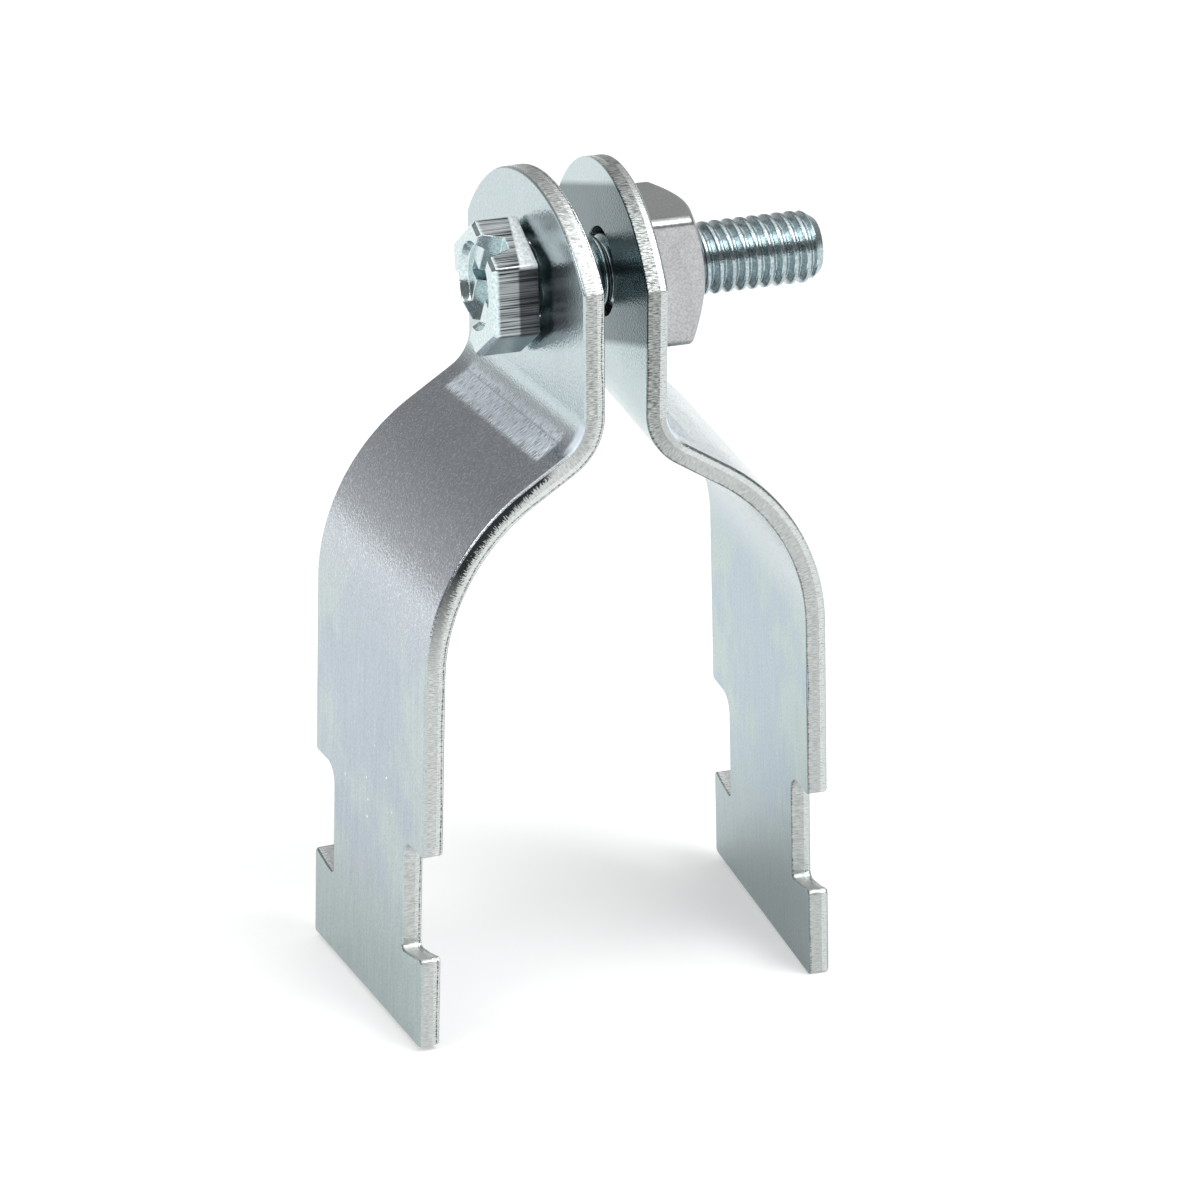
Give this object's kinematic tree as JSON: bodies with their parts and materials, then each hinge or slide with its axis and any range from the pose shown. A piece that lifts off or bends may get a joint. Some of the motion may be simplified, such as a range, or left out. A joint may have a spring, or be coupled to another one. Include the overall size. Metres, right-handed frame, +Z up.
{
  "type": "strut clamp",
  "caption": "Pipe clamp for slotted strut channel: a pair of hooked, bent steel straps drawn together at their ears by a slotted hex screw and a square nut.",
  "frame": {"origin": "the clamped pipe's axis, at the middle of the strip's width and half way between the straps", "axes": "+X along the screw from its head to its end, +Y along the pipe away from the side the picture shows, +Z up from the hooked feet to the ears"},
  "size_m": [0.0527, 0.0343, 0.09],
  "materials": {
    "left_strap_zinc": "satin electroplated zinc",
    "right_strap_zinc": "satin electroplated zinc",
    "screw_zinc": "bright electroplated zinc",
    "nut_zinc": "dull electroplated zinc"
  },
  "bodies": {
    "left_strap": {"left_strap": "left_strap_zinc"},
    "screw": {"hex_screw": "screw_zinc"},
    "nut": {"square_nut": "nut_zinc"},
    "right_strap": {"right_strap": "right_strap_zinc"}
  },
  "joints": [
    {"name": "screw_turn", "type": "hinge", "parent": "left_strap", "child": "screw", "pos_m": [0, 0, 0.03675], "axis": [1, 0, 0], "range_deg": [-3400, 1000]},
    {"name": "nut_travel", "type": "slide", "parent": "left_strap", "child": "nut", "axis": [1, 0, 0], "range_m": [-0.0039, 0.0131]},
    {"name": "strap_swing", "type": "hinge", "parent": "nut", "child": "right_strap", "pos_m": [0, 0, 0.03675], "axis": [1, 0, 0], "continuous": true}
  ],
  "couplings": [
    {"joint": "screw_turn", "follows": "nut_travel", "rad_per_m": -4452.7}
  ]
}
